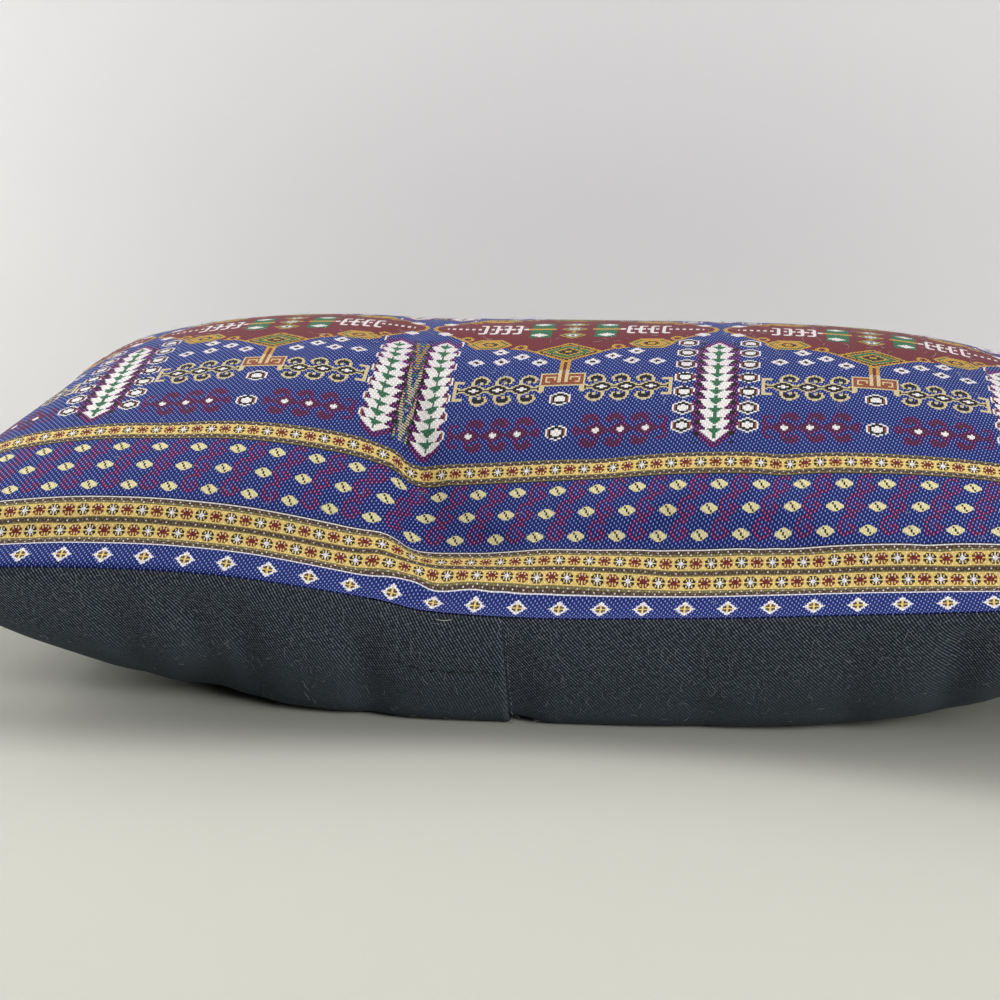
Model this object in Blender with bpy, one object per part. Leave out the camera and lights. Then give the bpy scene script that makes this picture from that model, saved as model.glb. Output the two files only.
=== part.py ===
"""A filled lumbar cushion in a carpet-pattern cover, lying on its back.

Three sewn pieces are solids of their own: the patterned front panel with the filling that it holds,
and the two plain back panels, whose lapped closure crosses the middle of the underside.
Units are metres, +X runs along the long side, +Y away from the long seam that is nearest the viewer.
"""

import bmesh
import bpy
import numpy as np

MM = 0.001

# The cover as it was cut, measured inside its seams
COVER_LENGTH = 500 * MM
COVER_DEPTH = 300 * MM
HALF_LENGTH = COVER_LENGTH / 2
HALF_DEPTH = COVER_DEPTH / 2

# The filled form: the crown over the seam, and how square its two profiles are
CROWN = 74 * MM
CROWN_POWER_ALONG = 4.7
CROWN_POWER_ACROSS = 1.83
STEEPEST_RUN = 0.25

# The underside: how far the filling would sag below the seam if nothing stopped it
SEAM_HEIGHT = 45.5 * MM
SAG = 73 * MM
SAG_POWER_ALONG = 2.06
SAG_POWER_LEFT = 6.5
SAG_POWER_RIGHT = 5.0
FLOOR_BLEND = 9 * MM

# The cloth, and the space that is kept between pieces
BACK_CLOTH = 1.2 * MM
HEM = 2.0 * MM
PIECE_GAP = 0.3 * MM
RIM_GAP = 0.4 * MM
EDGE_AT_SIDES = 0.8 * MM
EDGE_AT_CORNERS = 3.3 * MM
CORNER_POWER = 8

# The lapped closure: the left panel's folded edge, and how far the right panel runs in under it
LAP_EDGE = -3 * MM
TUCK_EDGE = -48 * MM
LAP_STEP = 14 * MM
TUCK_CLEARANCE = 4 * MM
TUCK_ROOM = 0.4 * MM

# The seam rises towards the corners, which stand clear of the surface. Right of the deep fold the near
# seam also stands out as a small flat lip, with a hollow above it.
SEAM_RISE = {
    "along_mm": (-250, -200, -150, -100, -50, 0, 60, 125, 190, 250),
    "rise_mm": (17, 17, 17, 13.2, 3.0, -2.0, -0.6, 7.4, 16.6, 18),
    "lip_mm": (0, 0, 0, 0, 2.0, 3.4, 3.6, 3.0, 2.6, 1.5),
}
LIP_REACH = 6 * MM
SEAM_RISE_POWER = 1.6
FAR_SEAM_RISE = 0.2

# Folds pressed into the front panel, and one low swelling. Places are on the flat cloth: along from the
# middle, across from the near seam.
FRONT_FOLDS = {
    "along_mm": (-31, 82, 26, -122, 168, -195, 118),
    "across_mm": (34, 60, 58, 66, 52, 64, 42),
    "lean": (-0.135, 0.10, -0.05, -0.20, 0.25, 0, 0),
    "left_width_mm": (13, 9, 11, 16, 14, 60, 34),
    "right_width_mm": (60, 11, 12, 14, 12, 44, 40),
    "near_reach_mm": (48, 14, 16, 22, 20, 34, 26),
    "far_reach_mm": (84, 18, 14, 30, 24, 34, 26),
    "depth_mm": (19, 2.6, 1.6, 2.4, 2.0, -3.4, 1.8),
}

# Soft creases that run down the back cloth from the near and the far seam
BACK_FOLDS = {
    "along_mm": (-196, -141, -114, -97, -55, 62, 112, 148, 186),
    "width_mm": (9, 8, 12, 6, 7, 9, 9, 7, 9),
    "depth_mm": (2.0, 2.2, 4.0, 3.2, 2.8, 1.6, 1.4, 3.0, 2.2),
    "reach_mm": (40, 38, 60, 34, 36, 30, 34, 40, 40),
}
FAR_FOLD_SHARE = 0.6
SEAM_FADE = 26 * MM
FOLD_AT_SEAM = 0.3
FOLD_UNDER_REACH = 46 * MM

# Faces of the solids: stretches of the flat cloth and how many cells each is cut into
ALONG_CELLS = (
    (-250, -226, 3),
    (-226, -72, 12),
    (-72, -52, 3),
    (-52, -48.4, 1),
    (-48.4, -48, 1),
    (-48, -3, 7),
    (-3, 11, 3),
    (11, 125, 9),
    (125, 226, 8),
    (226, 250, 3),
)
ACROSS_CELLS = ((0, 10, 3), (10, 28, 3), (28, 64, 4), (64, 150, 5))

# Integration steps for the thread lengths, which are finer than the faces
FINE_ALONG = 401
FINE_ACROSS = 241


def stations(cells):
    """The cut lines, in metres, of stretches given as (from, to, number of cells) in millimetres."""
    lines = [np.linspace(start, end, count + 1)[:-1] for start, end, count in cells]
    return np.append(np.concatenate(lines), cells[-1][1]) * MM


def smooth_table(places, values, at):
    """A smooth curve through the rows of a table: cubic pieces whose slopes follow their neighbours."""
    places = np.asarray(places, float) * MM
    values = np.asarray(values, float) * MM
    slopes = np.gradient(values, places)
    row = np.clip(np.searchsorted(places, at) - 1, 0, len(places) - 2)
    run = places[row + 1] - places[row]
    t = (at - places[row]) / run
    start_weight = 2 * t**3 - 3 * t**2 + 1
    start_slope = (t**3 - 2 * t**2 + t) * run
    end_slope = (t**3 - t**2) * run
    return (
        start_weight * values[row]
        + (1 - start_weight) * values[row + 1]
        + start_slope * slopes[row]
        + end_slope * slopes[row + 1]
    )


def smooth_step(t):
    """0 below 0, 1 above 1, and a smooth change between."""
    t = np.clip(t, 0, 1)
    return t * t * (3 - 2 * t)


def resting(height, blend):
    """The height, but never below the surface: rounded off within the blend, and exactly 0 past it."""
    rounded = (height + blend) ** 2 / (4 * blend)
    return np.where(height < -blend, 0, np.where(height > blend, height, rounded))


def length_kept(climb, half, axis, step):
    """How far each thread reaches sideways when it keeps its own length while it climbs."""
    run = np.sqrt(np.maximum(half**2 - climb**2, (STEEPEST_RUN * half) ** 2))
    run = np.moveaxis(run, axis, 0)
    pieces = (run[1:] + run[:-1]) * step / 2
    reach = np.concatenate([np.zeros_like(run[:1]), np.cumsum(pieces, axis=0)])
    reach -= reach[len(reach) // 2]
    return np.moveaxis(reach, 0, axis)


def outward(points):
    """Unit normals of a grid of points, on the side where X cross Y points."""
    normal = np.cross(np.gradient(points, axis=0), np.gradient(points, axis=1))
    return normal / np.linalg.norm(normal, axis=2, keepdims=True)


def front_fold_depth(along, across):
    """How deep the front panel's folds are pressed in, each one steeper on one flank than on the other."""
    depth = np.zeros(np.broadcast(along, across).shape)
    for row in zip(*FRONT_FOLDS.values()):
        place, height, lean, left, right, near, far, deep = row
        aside = along / MM - (place + lean * across / MM)
        flank = 1 / (1 + (aside / np.where(aside > 0, right, left)) ** 2)
        up = across / MM - height
        fade = np.exp(-((up / np.where(up > 0, far, near)) ** 2))
        depth = depth + deep * MM * flank * fade
    at_seam = FOLD_AT_SEAM + (1 - FOLD_AT_SEAM) * smooth_step(across / SEAM_FADE)
    return depth * at_seam


def back_fold_depth(along, from_near, from_far):
    """How deep the back cloth is creased, from the near seam and more faintly from the far one."""
    depth = np.zeros(np.broadcast(along, from_near).shape)
    for place, width, deep, reach in zip(*BACK_FOLDS.values()):
        trough = deep * MM * np.exp(-(((along / MM - place) / width) ** 2))
        for distance, share in ((from_near, 1), (from_far, FAR_FOLD_SHARE)):
            down = distance / MM
            depth = depth + share * trough * smooth_step(down / 8) * np.exp(-((down / reach) ** 2))
    return depth


def surfaces(along, across):
    """The front and the underside over the flat cloth, as grids of points that share the seam's plan."""
    fine_along = np.linspace(-HALF_LENGTH, HALF_LENGTH, FINE_ALONG)[:, None]
    fine_across = np.linspace(0, COVER_DEPTH, FINE_ACROSS)[None, :]
    a = fine_along / HALF_LENGTH
    b = fine_across / HALF_DEPTH - 1
    rise = smooth_table(SEAM_RISE["along_mm"], SEAM_RISE["rise_mm"], fine_along)
    rise = rise * (1 - (1 - FAR_SEAM_RISE) * smooth_step((b + 1) / 2))
    lip = smooth_table(SEAM_RISE["along_mm"], SEAM_RISE["lip_mm"], fine_along)
    lip = lip * np.exp(-fine_across / LIP_REACH)
    base = SEAM_HEIGHT + rise * np.abs(b) ** SEAM_RISE_POWER + lip
    corner = (np.abs(a) * np.abs(b)) ** CORNER_POWER
    edge = EDGE_AT_SIDES + (EDGE_AT_CORNERS - EDGE_AT_SIDES) * corner
    crown = CROWN * (1 - np.abs(a) ** CROWN_POWER_ALONG) * (1 - np.abs(b) ** CROWN_POWER_ACROSS)
    top = base + edge + crown
    step_a = a[1, 0] - a[0, 0]
    step_b = b[0, 1] - b[0, 0]
    x = length_kept(np.gradient(top, step_a, axis=0), HALF_LENGTH, 0, step_a)
    y = length_kept(np.gradient(top, step_b, axis=1), HALF_DEPTH, 1, step_b)
    front = np.stack([x, y, top], axis=2)
    pressed = -outward(front) * front_fold_depth(fine_along, fine_across)[..., None]

    wall_power = SAG_POWER_LEFT + (SAG_POWER_RIGHT - SAG_POWER_LEFT) * smooth_step((a + 0.4) / 0.8)
    sag = SAG * (1 - np.abs(a) ** SAG_POWER_ALONG) * (1 - np.abs(b) ** wall_power)
    under = np.stack([x, y, base - sag], axis=2)
    creased = back_fold_depth(fine_along, fine_across, COVER_DEPTH - fine_across)[..., None]
    under = under + outward(under) * creased
    follow = 1 - smooth_step(fine_across / FOLD_UNDER_REACH)
    under = under + pressed[:, :1] * follow[..., None]
    under[..., 2] = resting(under[..., 2], FLOOR_BLEND)
    front = front + pressed

    lowest = np.minimum(front.min(axis=(0, 1)), under.min(axis=(0, 1)))
    highest = np.maximum(front.max(axis=(0, 1)), under.max(axis=(0, 1)))
    middle = (lowest + highest) / 2 * (1, 1, 0)
    return [sampled(grid - middle, fine_along, fine_across, along, across) for grid in (front, under)]


def sampled(grid, fine_along, fine_across, along, across):
    """The fine grid read at chosen places of the flat cloth, in straight lines between its points."""
    i = (along - fine_along[0, 0]) / (fine_along[1, 0] - fine_along[0, 0])
    j = (across - fine_across[0, 0]) / (fine_across[0, 1] - fine_across[0, 0])
    i0 = np.clip(i.astype(int), 0, FINE_ALONG - 2)
    j0 = np.clip(j.astype(int), 0, FINE_ACROSS - 2)
    s = (i - i0)[:, None, None]
    t = (j - j0)[None, :, None]
    near = grid[i0][:, j0] * (1 - s) + grid[i0 + 1][:, j0] * s
    far = grid[i0][:, j0 + 1] * (1 - s) + grid[i0 + 1][:, j0 + 1] * s
    return near * (1 - t) + far * t


def closed_layer(name, upper, lower):
    """One solid between two grids of points: both faces, and a strip that joins their rims."""
    rows, columns = upper.shape[:2]
    mesh = bmesh.new()
    grids = []
    for grid in (upper, lower):
        grids.append([[mesh.verts.new(point) for point in line] for line in grid.tolist()])
    for i in range(rows - 1):
        for j in range(columns - 1):
            for grid, turn in zip(grids, (1, -1)):
                a, b = grid[i][j], grid[i + 1][j]
                c, d = grid[i + 1][j + 1], grid[i][j + 1]
                mesh.faces.new((a, b, c)[::turn])
                mesh.faces.new((a, c, d)[::turn])
    rim = [(i, 0) for i in range(rows)]
    rim += [(rows - 1, j) for j in range(1, columns)]
    rim += [(i, columns - 1) for i in range(rows - 2, -1, -1)]
    rim += [(0, j) for j in range(columns - 2, 0, -1)]
    for (i, j), (k, m) in zip(rim, rim[1:] + rim[:1]):
        top_from, top_to = grids[0][i][j], grids[0][k][m]
        low_from, low_to = grids[1][i][j], grids[1][k][m]
        mesh.faces.new((low_from, low_to, top_to))
        mesh.faces.new((low_from, top_to, top_from))
    data = bpy.data.meshes.new(name)
    mesh.to_mesh(data)
    mesh.free()
    data.shade_smooth()
    data.set_sharp_from_angle(angle=np.radians(50))
    solid = bpy.data.objects.new(name, data)
    bpy.context.scene.collection.objects.link(solid)
    return solid


def cloth_material(name, colour, roughness):
    """A woven cloth's plain colour and roughness."""
    material = bpy.data.materials.new(name)
    material.use_nodes = True
    shader = material.node_tree.nodes["Principled BSDF"]
    shader.inputs["Base Color"].default_value = (*colour, 1)
    shader.inputs["Roughness"].default_value = roughness
    shader.inputs["Metallic"].default_value = 0
    material.diffuse_color = (*colour, 1)
    return material


def without_rim(along, across):
    """The cut lines with the outermost ones drawn in, so that a back panel's rim clears the front's."""
    inner_along = np.clip(along, -HALF_LENGTH + RIM_GAP, HALF_LENGTH - RIM_GAP)
    return inner_along, np.clip(across, RIM_GAP, COVER_DEPTH - RIM_GAP)


def lifted(grid, inward, distance):
    """A grid moved into the cushion by a distance that may change along it."""
    return grid + inward * np.asarray(distance)[:, None, None]


def build_cushion():
    """Lays out the cut lines, works out the layers under the filling and makes the three solids."""
    along = stations(ALONG_CELLS)
    near_half = stations(ACROSS_CELLS)
    across = np.concatenate([near_half, COVER_DEPTH - near_half[-2::-1]])

    front, under = surfaces(along, across)
    inward = outward(under)
    beside_lap = smooth_step(1 - (along - LAP_EDGE) / LAP_STEP)
    over_tuck = smooth_step((along - TUCK_EDGE + TUCK_CLEARANCE) / (TUCK_CLEARANCE - TUCK_ROOM))
    under_hem = np.where(along < TUCK_EDGE, over_tuck, beside_lap)
    right_inset = (HEM + PIECE_GAP) * beside_lap
    filling_inset = BACK_CLOTH + PIECE_GAP + (HEM + PIECE_GAP) * under_hem
    front_panel = closed_layer("front_panel_filled", front, lifted(under, inward, filling_inset))

    back_along, back_across = without_rim(along, across)
    back_under = surfaces(back_along, back_across)[1]
    back_inward = outward(back_under)
    left = back_along <= LAP_EDGE + MM / 10
    left_thickness = np.where(back_along > TUCK_EDGE - MM / 10, HEM, BACK_CLOTH)
    left_panel = closed_layer(
        "back_panel_left",
        lifted(back_under[left], back_inward[left], left_thickness[left]),
        back_under[left],
    )
    right = back_along >= TUCK_EDGE - MM / 10
    right_panel = closed_layer(
        "back_panel_right",
        lifted(back_under[right], back_inward[right], (right_inset + BACK_CLOTH)[right]),
        lifted(back_under[right], back_inward[right], right_inset[right]),
    )

    front_panel.data.materials.append(cloth_material("patterned jacquard", (0.035, 0.052, 0.26), 0.72))
    back_cloth = cloth_material("charcoal twill", (0.028, 0.032, 0.041), 0.85)
    left_panel.data.materials.append(back_cloth)
    right_panel.data.materials.append(back_cloth)


for leftover in list(bpy.data.objects):
    bpy.data.objects.remove(leftover)
build_cushion()
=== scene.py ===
"""A filled lumbar cushion in a carpet-pattern cover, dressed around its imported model.

Units are metres. The cushion lies on its back with its patterned face up, +X along its long side.
"""

import bpy
import numpy as np
from mathutils import Matrix, Vector


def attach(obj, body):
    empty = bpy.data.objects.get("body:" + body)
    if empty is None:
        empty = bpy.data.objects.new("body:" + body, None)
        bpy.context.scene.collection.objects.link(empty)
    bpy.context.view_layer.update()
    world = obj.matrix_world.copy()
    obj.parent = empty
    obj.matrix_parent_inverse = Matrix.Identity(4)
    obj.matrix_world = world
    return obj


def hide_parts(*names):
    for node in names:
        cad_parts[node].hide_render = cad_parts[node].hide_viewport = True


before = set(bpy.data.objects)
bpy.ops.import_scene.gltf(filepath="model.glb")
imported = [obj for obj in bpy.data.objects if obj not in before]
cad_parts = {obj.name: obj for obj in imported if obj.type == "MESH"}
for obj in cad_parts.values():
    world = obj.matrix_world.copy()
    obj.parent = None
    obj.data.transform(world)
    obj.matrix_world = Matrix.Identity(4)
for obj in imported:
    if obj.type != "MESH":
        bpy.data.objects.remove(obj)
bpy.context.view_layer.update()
scene = bpy.context.scene

# The viewpoint: a lens at the near side, a little right of the middle and low, turned slightly left.
# Its place, turn and focal length are those that put the cushion's seam, corners and bands where a
# picture of 1000 by 1000 points shows them.
MM = 0.001
VIEW_PLACE = (79.45 * MM, -688.18 * MM, 272.65 * MM)
VIEW_YAW = 0.14855
VIEW_PITCH = 0.31318
VIEW_ROLL = -0.0109
FOCAL_POINTS = 1811.1
PICTURE_POINTS = 1000

camera = bpy.data.objects.new("viewpoint", bpy.data.cameras.new("viewpoint"))
scene.collection.objects.link(camera)
camera.data.sensor_width = 36
camera.data.lens = FOCAL_POINTS / PICTURE_POINTS * camera.data.sensor_width
turned = (
    Matrix.Rotation(VIEW_YAW, 4, "Z")
    @ Matrix.Rotation(np.pi / 2 - VIEW_PITCH, 4, "X")
    @ Matrix.Rotation(VIEW_ROLL, 4, "Z")
)
camera.matrix_world = Matrix.Translation(VIEW_PLACE) @ turned
scene.camera = camera

# The stuffed cover. Two rectangles of cloth are sewn together at their edges and filled with fibre,
# so each thread keeps its length while the crown lifts it, and the sides draw in between the corners.
# The same rule shapes the front and the back, which share the seam.
CUT_LENGTH = 500 * MM
CUT_DEPTH = 300 * MM
CROWN = 74 * MM
CROWN_POWERS = (4.7, 1.83)
STEEPEST_RUN = 0.25
SEAM_HEIGHT = 45.5 * MM
SAG = 73 * MM
SAG_POWER_ALONG = 2.06
WALL_POWERS = (6.5, 5.0)
FLOOR_BLEND = 9 * MM
EDGE_AT_SIDES = 0.8 * MM
EDGE_AT_CORNERS = 3.3 * MM
# Near the middle this lip stands up to 3 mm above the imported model's, to bring the seam where it shows
SEAM_RISE = {
    "along_mm": (-250, -200, -150, -100, -50, 0, 60, 125, 190, 250),
    "rise_mm": (17, 17, 17, 13.2, 3.0, -2.0, -0.6, 7.4, 16.6, 18),
    "lip_mm": (0, 0, 0, 1.6, 5.0, 5.4, 5.4, 3.8, 2.6, 1.5),
}
LIP_REACH = 6 * MM
SEAM_RISE_POWER = 1.6
FAR_SEAM_RISE = 0.2
FRONT_FOLDS = {
    "along_mm": (-31, 82, 26, -122, 168, -195, 118),
    "across_mm": (34, 60, 58, 66, 52, 64, 42),
    "lean": (-0.135, 0.10, -0.05, -0.20, 0.25, 0, 0),
    "left_width_mm": (13, 9, 11, 16, 14, 60, 34),
    "right_width_mm": (60, 11, 12, 14, 12, 44, 40),
    "near_reach_mm": (48, 14, 16, 22, 20, 34, 26),
    "far_reach_mm": (84, 18, 14, 30, 24, 34, 26),
    "depth_mm": (19, 2.6, 1.6, 2.4, 2.0, -3.4, 1.8),
}
BACK_FOLDS = {
    "along_mm": (-196, -141, -114, -97, -55, 62, 112, 148, 186),
    "width_mm": (9, 8, 12, 6, 7, 9, 9, 7, 9),
    "depth_mm": (2.0, 2.2, 4.0, 3.2, 2.8, 1.6, 1.4, 3.0, 2.2),
    "reach_mm": (40, 38, 60, 34, 36, 30, 34, 40, 40),
}
FAR_FOLD_SHARE = 0.6
SEAM_FADE = 26 * MM
FOLD_AT_SEAM = 0.3
FOLD_UNDER_REACH = 46 * MM
SEAM_TUCK = 1.1 * MM
SEAM_ROUND = 1.3 * MM


def smooth_table(places, values, at):
    """A smooth curve through the rows of a table: cubic pieces whose slopes follow their neighbours."""
    places = np.asarray(places, float) * MM
    values = np.asarray(values, float) * MM
    slopes = np.gradient(values, places)
    row = np.clip(np.searchsorted(places, at) - 1, 0, len(places) - 2)
    run = places[row + 1] - places[row]
    t = (at - places[row]) / run
    start_weight = 2 * t**3 - 3 * t**2 + 1
    bend = (t**3 - 2 * t**2 + t) * slopes[row] + (t**3 - t**2) * slopes[row + 1]
    return start_weight * values[row] + (1 - start_weight) * values[row + 1] + bend * run


def smooth_step(t):
    """0 below 0, 1 above 1, and 3 t squared less 2 t cubed between."""
    t = np.clip(t, 0, 1)
    return t * t * (3 - 2 * t)


def outward(points):
    """Unit normals of a grid of points: the cross product of its two directions."""
    normal = np.cross(np.gradient(points, axis=0), np.gradient(points, axis=1))
    return normal / np.linalg.norm(normal, axis=2, keepdims=True)


def thread_reach(height, cut, axis):
    """How far each thread reaches sideways while it climbs: the running sum of root(1 - slope squared)."""
    slope = np.gradient(height, cut, axis=axis)
    run = np.moveaxis(np.sqrt(np.maximum(1 - slope**2, STEEPEST_RUN**2)), axis, 0)
    steps = np.diff(cut)[:, None] * (run[1:] + run[:-1]) / 2
    reach = np.concatenate([np.zeros_like(run[:1]), np.cumsum(steps, axis=0)])
    return np.moveaxis(reach - reach[len(cut) // 2], 0, axis)


def front_fold_depth(along, across):
    """Each fold is 1 / (1 + (distance / width) squared) across, with its own width on each flank, and fades
    as a bell along its length."""
    depth = np.zeros(np.broadcast(along, across).shape)
    for place, height, lean, left, right, near, far, deep in zip(*FRONT_FOLDS.values()):
        aside = along / MM - (place + lean * across / MM)
        flank = 1 / (1 + (aside / np.where(aside > 0, right, left)) ** 2)
        up = across / MM - height
        depth = depth + deep * MM * flank * np.exp(-((up / np.where(up > 0, far, near)) ** 2))
    return depth * (FOLD_AT_SEAM + (1 - FOLD_AT_SEAM) * smooth_step(across / SEAM_FADE))


def back_fold_depth(along, from_near, from_far):
    """Each crease is a bell across, and fades as a bell down from either seam."""
    depth = np.zeros(np.broadcast(along, from_near).shape)
    for place, width, deep, reach in zip(*BACK_FOLDS.values()):
        trough = deep * MM * np.exp(-(((along / MM - place) / width) ** 2))
        for distance, share in ((from_near, 1), (from_far, FAR_FOLD_SHARE)):
            down = distance / MM
            depth = depth + share * trough * smooth_step(down / 8) * np.exp(-((down / reach) ** 2))
    return depth


def stuffed_form(cut_along, cut_across):
    """The outer faces of front and back over the flat cloth. The front is the seam's height plus the crown
    (1 - |a|^p)(1 - |b|^q); the back is that height less a sag of the same kind, flattened where it would
    pass through the surface under it. The folds are pressed in along the normals."""
    along = cut_along[:, None]
    across = cut_across[None, :]
    a = along / (CUT_LENGTH / 2)
    b = across / (CUT_DEPTH / 2) - 1
    rise = smooth_table(SEAM_RISE["along_mm"], SEAM_RISE["rise_mm"], along)
    rise = rise * (1 - (1 - FAR_SEAM_RISE) * smooth_step((b + 1) / 2))
    lip = smooth_table(SEAM_RISE["along_mm"], SEAM_RISE["lip_mm"], along) * np.exp(-across / LIP_REACH)
    base = SEAM_HEIGHT + rise * np.abs(b) ** SEAM_RISE_POWER + lip
    corner = (np.abs(a) * np.abs(b)) ** 8
    edge = EDGE_AT_SIDES + (EDGE_AT_CORNERS - EDGE_AT_SIDES) * corner
    crown = CROWN * (1 - np.abs(a) ** CROWN_POWERS[0]) * (1 - np.abs(b) ** CROWN_POWERS[1])
    top = base + edge + crown
    x = thread_reach(top, cut_along, 0)
    y = thread_reach(top, cut_across, 1)
    front = np.stack([x, y, top], axis=2)
    pressed = -outward(front) * front_fold_depth(along, across)[..., None]

    wall_power = WALL_POWERS[0] + (WALL_POWERS[1] - WALL_POWERS[0]) * smooth_step((a + 0.4) / 0.8)
    sag = SAG * (1 - np.abs(a) ** SAG_POWER_ALONG) * (1 - np.abs(b) ** wall_power)
    back = np.stack([x, y, base - sag], axis=2)
    back = back + outward(back) * back_fold_depth(along, across, CUT_DEPTH - across)[..., None]
    back = back + pressed[:, :1] * (1 - smooth_step(across / FOLD_UNDER_REACH))[..., None]
    height = back[..., 2]
    rounded = (height + FLOOR_BLEND) ** 2 / (4 * FLOOR_BLEND)
    above = np.where(height > FLOOR_BLEND, height, rounded)
    back[..., 2] = np.where(height < -FLOOR_BLEND, 0, above)
    front = front + pressed

    lowest = np.minimum(front.min(axis=(0, 1)), back.min(axis=(0, 1)))
    highest = np.maximum(front.max(axis=(0, 1)), back.max(axis=(0, 1)))
    middle = (lowest + highest) / 2 * (1, 1, 0)
    return front - middle, back - middle


def cut_lines(length, fine_to, step):
    """Places across a width of cloth: closest at both seams, fine down to a given depth and then even."""
    rim = np.array([0, 0.4, 0.8, 1.3, 1.9, 2.6, 3.4, 4.4, 5.6, 7.0]) * MM
    fine = np.linspace(rim[-1], fine_to, round((fine_to - rim[-1]) / (1.1 * MM)) + 1)[1:]
    near = np.concatenate([rim, fine])
    inner = np.linspace(near[-1], length - near[-1], round((length - 2 * near[-1]) / step / 2) * 2 + 1)
    return np.concatenate([near[:-1], inner, length - near[-2::-1]])


along = cut_lines(CUT_LENGTH, 7 * MM, 2.4 * MM) - CUT_LENGTH / 2
across = cut_lines(CUT_DEPTH, 30 * MM, 2.4 * MM)
front_face, back_face = stuffed_form(along, across)

# The slack of the cover. The solver settles the sewn cover under the pressure of its filling, against
# the flat size that its panels were cut to, so the cloth that is too wide for the drawn-in sides
# gathers into small ripples. Only their lift off the faces is kept, up to a cap and fading at the seam.
SLACK_STEP = 5 * MM
SLACK_SMOOTHING = 26 * MM
SLACK_CAP = 2.2 * MM
SLACK_FRAMES = 20
SLACK_FADE = 16 * MM
LYING_FADE = 12 * MM


def grid_faces(rows, columns, first=0):
    """The four corners of each cell of a grid of points, counted row by row."""
    corner = first + np.arange(rows * columns).reshape(rows, columns)
    cells = [corner[:-1, :-1], corner[1:, :-1], corner[1:, 1:], corner[:-1, 1:]]
    return np.stack(cells, axis=2).reshape(-1, 4)


def settled_slack():
    """How far the solver lifts the front and the back off their faces, less the broad part of that."""
    u = np.linspace(-CUT_LENGTH / 2, CUT_LENGTH / 2, round(CUT_LENGTH / SLACK_STEP) + 1)
    v = np.linspace(0, CUT_DEPTH, round(CUT_DEPTH / SLACK_STEP) + 1)
    shape = (len(u), len(v))
    front, back = stuffed_form(u, v)
    on_rim = np.ones(shape, bool)
    on_rim[1:-1, 1:-1] = False
    back_index = np.where(on_rim, np.arange(on_rim.size).reshape(shape), 0)
    back_index[~on_rim] = on_rim.size + np.arange((~on_rim).sum())
    points = np.concatenate([front.reshape(-1, 3), back[~on_rim]])
    faces = grid_faces(*shape)
    below = back_index.ravel()[faces][:, ::-1]
    mesh = bpy.data.meshes.new("slack")
    mesh.from_pydata(points.tolist(), [], np.concatenate([faces, below]).tolist())
    cover = bpy.data.objects.new("slack", mesh)
    scene.collection.objects.link(cover)
    cover.shape_key_add(name="sewn")
    flat = cover.shape_key_add(name="flat")
    layout = np.stack([*np.broadcast_arrays(u[:, None], v[None, :]), np.zeros(shape)], axis=2)
    flat_points = np.concatenate([layout.reshape(-1, 3), layout[~on_rim]])
    flat.data.foreach_set("co", flat_points.ravel())
    cloth = cover.modifiers.new("cloth", "CLOTH")
    cloth.settings.quality = 5
    cloth.settings.mass = 0.3
    cloth.settings.tension_stiffness = 12
    cloth.settings.compression_stiffness = 12
    cloth.settings.shear_stiffness = 4
    cloth.settings.bending_stiffness = 0.4
    cloth.settings.use_pressure = True
    cloth.settings.uniform_pressure_force = 4
    cloth.settings.rest_shape_key = flat
    cloth.settings.effector_weights.gravity = 0
    cloth.collision_settings.use_collision = False
    cloth.point_cache.frame_end = SLACK_FRAMES
    for number in range(1, SLACK_FRAMES + 1):
        scene.frame_set(number)
    settled = cover.evaluated_get(bpy.context.evaluated_depsgraph_get()).to_mesh()
    moved = np.empty(len(points) * 3)
    settled.vertices.foreach_get("co", moved)
    scene.frame_set(1)
    bpy.data.objects.remove(cover)
    moved = moved.reshape(-1, 3) - points
    weights = []
    for line in (u, v):
        bell = np.exp(-(((line[:, None] - line[None, :]) / SLACK_SMOOTHING) ** 2))
        weights.append(bell / bell.sum(axis=1, keepdims=True))
    ripples = []
    side = np.minimum(u + CUT_LENGTH / 2, CUT_LENGTH / 2 - u)[:, None]
    inside = smooth_step(np.minimum(side, np.minimum(v, CUT_DEPTH - v)[None, :]) / SLACK_FADE)
    for face, index in ((front, np.arange(on_rim.size).reshape(shape)), (back, back_index)):
        normal = outward(face)
        lift = (moved[index] * normal).sum(axis=2)
        lift = lift - np.einsum("ia,jb,ab->ij", *weights, lift)
        lift = inside * SLACK_CAP * np.tanh(lift / SLACK_CAP)
        ripples.append(lift[..., None] * normal)
    return u, v, ripples


def through_points(line, at):
    """Weights of the Catmull-Rom curve through evenly spaced values, one row for each place on it."""
    step = line[1] - line[0]
    place = (at - line[0]) / step
    cell = np.clip(place.astype(int), 0, len(line) - 2)
    t = place - cell
    curve = [-t + 2 * t**2 - t**3, 2 - 5 * t**2 + 3 * t**3, t + 4 * t**2 - 3 * t**3, t**3 - t**2]
    weights = np.zeros((len(at), len(line)))
    for offset, share in zip((-1, 0, 1, 2), curve):
        np.add.at(weights, (np.arange(len(at)), np.clip(cell + offset, 0, len(line) - 1)), share / 2)
    return weights


slack_along, slack_across, (front_slack, back_slack) = settled_slack()
spread_along = through_points(slack_along, along)
spread_across = through_points(slack_across, across)
front_face = front_face + np.einsum("ia,jb,abk->ijk", spread_along, spread_across, front_slack)
lying = smooth_step(back_face[..., 2:] / LYING_FADE)
back_face = back_face + lying * np.einsum("ia,jb,abk->ijk", spread_along, spread_across, back_slack)

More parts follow.
